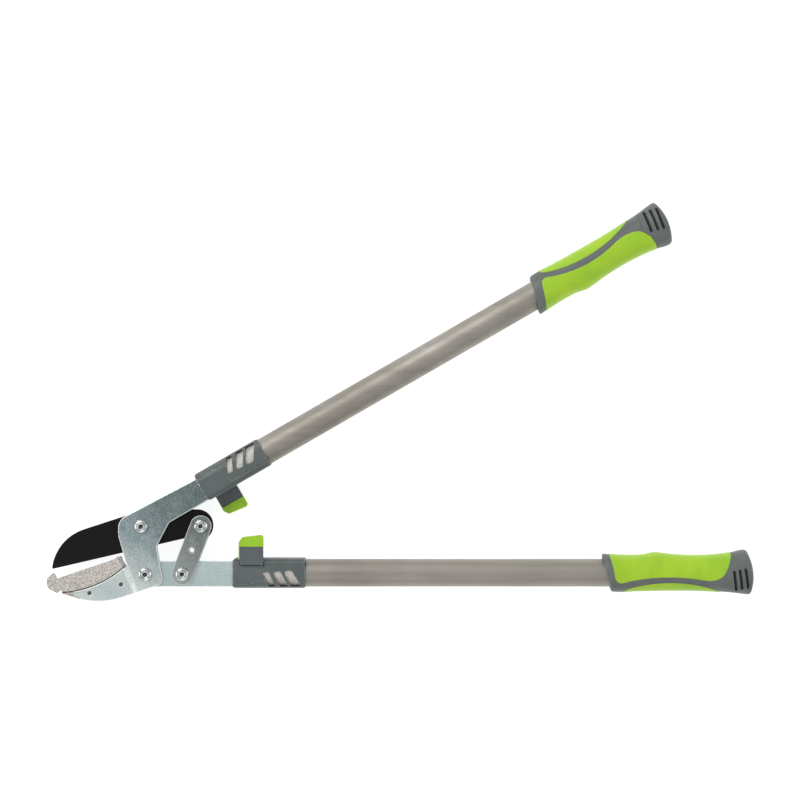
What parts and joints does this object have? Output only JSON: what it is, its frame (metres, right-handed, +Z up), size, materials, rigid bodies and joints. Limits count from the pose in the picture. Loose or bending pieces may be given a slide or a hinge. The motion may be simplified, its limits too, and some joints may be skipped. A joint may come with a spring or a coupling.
{
  "type": "telescopic anvil loppers",
  "caption": "Long-handled anvil loppers with a compound link action, telescopic tube handles with flip locks and soft two-colour grips.",
  "frame": {"origin": "on the surface the tool lies on, below the middle of its box", "axes": "the tool lies on its side: +X along the lower handle from the jaws to the grips, +Y from the lower handle to the upper one, +Z up out of the side that shows the bolt heads"},
  "size_m": [0.6703, 0.3784, 0.0378],
  "materials": {
    "zinc_plate": "bright zinc-plated steel sheet, faintly spangled",
    "link_steel": "darker zinc-plated steel with bright edges",
    "coated_blade": "black non-stick coating, satin",
    "cast_anvil": "sand-textured light metal casting",
    "bright_steel": "polished plated fasteners",
    "inner_tube": "satin anodised",
    "outer_tube": "satin warm grey finish",
    "grey_plastic": "fine grained dark grey moulding",
    "lever_plastic": "fine grained dark grey moulding",
    "green_plastic": "lime green moulding",
    "green_rubber": "soft lime green moulded grip"
  },
  "bodies": {
    "head": {"front_plate": "zinc_plate", "rear_plate": "zinc_plate", "anvil": "cast_anvil", "anvil_rivets": "bright_steel", "blade_pivot_bolt": "bright_steel", "arm_pivot_bolt": "bright_steel", "head_lock_nuts": "bright_steel", "upper_tang_spacer": "grey_plastic", "upper_tang_packers": "grey_plastic", "upper_inner_tube": "inner_tube", "upper_tube_rivets": "bright_steel", "upper_guide_plug": "grey_plastic"},
    "blade": {"blade": "coated_blade"},
    "lower_arm": {"lower_bar": "zinc_plate", "lower_tang_packers": "grey_plastic", "lower_inner_tube": "inner_tube", "lower_tube_rivets": "bright_steel", "lower_guide_plug": "grey_plastic"},
    "links": {"front_link": "link_steel", "rear_link": "link_steel", "link_top_bolt": "bright_steel", "link_low_bolt": "bright_steel", "link_lock_nuts": "bright_steel"},
    "upper_handle": {"upper_outer_tube": "outer_tube", "upper_collar": "grey_plastic", "upper_lever_pin": "bright_steel", "upper_grip": "grey_plastic", "upper_grip_inner_pad": "green_rubber", "upper_grip_outer_pad": "green_rubber"},
    "upper_lever": {"upper_lock_lever": "lever_plastic", "upper_lever_cap": "green_plastic"},
    "lower_handle": {"lower_outer_tube": "outer_tube", "lower_collar": "grey_plastic", "lower_lever_pin": "bright_steel", "lower_grip": "grey_plastic", "lower_grip_inner_pad": "green_rubber", "lower_grip_outer_pad": "green_rubber"},
    "lower_lever": {"lower_lock_lever": "lever_plastic", "lower_lever_cap": "green_plastic"}
  },
  "joints": [
    {"name": "arm_hinge", "type": "hinge", "parent": "head", "child": "lower_arm", "pos_m": [-0.2418, -0.16375, 0.019], "axis": [0, 0, 1], "range_deg": [-50, 9]},
    {"name": "blade_hinge", "type": "hinge", "parent": "head", "child": "blade", "pos_m": [-0.2456, -0.11825, 0.019], "axis": [0, 0, 1], "range_deg": [-31, 5.6]},
    {"name": "link_hinge", "type": "hinge", "parent": "lower_arm", "child": "links", "pos_m": [-0.2067, -0.16345, 0.019], "axis": [0, 0, 1], "range_deg": [-8.2, 45.4]},
    {"name": "upper_slide", "type": "slide", "parent": "head", "child": "upper_handle", "axis": [0.866, 0.5, 0], "range_m": [0, 0.25]},
    {"name": "lower_slide", "type": "slide", "parent": "lower_arm", "child": "lower_handle", "axis": [1, 0, 0], "range_m": [0, 0.25]},
    {"name": "upper_lever_hinge", "type": "hinge", "parent": "upper_handle", "child": "upper_lever", "pos_m": [-0.18278, -0.09157, 0.009], "axis": [-0.866, -0.5, 0], "range_deg": [0, 90]},
    {"name": "lower_lever_hinge", "type": "hinge", "parent": "lower_handle", "child": "lower_lever", "pos_m": [-0.1586, -0.15075, 0.029], "axis": [-1, 0, 0], "range_deg": [0, 90]}
  ],
  "couplings": [
    {"joint": "blade_hinge", "follows": "arm_hinge", "ratio": 0.618},
    {"joint": "link_hinge", "follows": "arm_hinge", "ratio": -0.905}
  ]
}
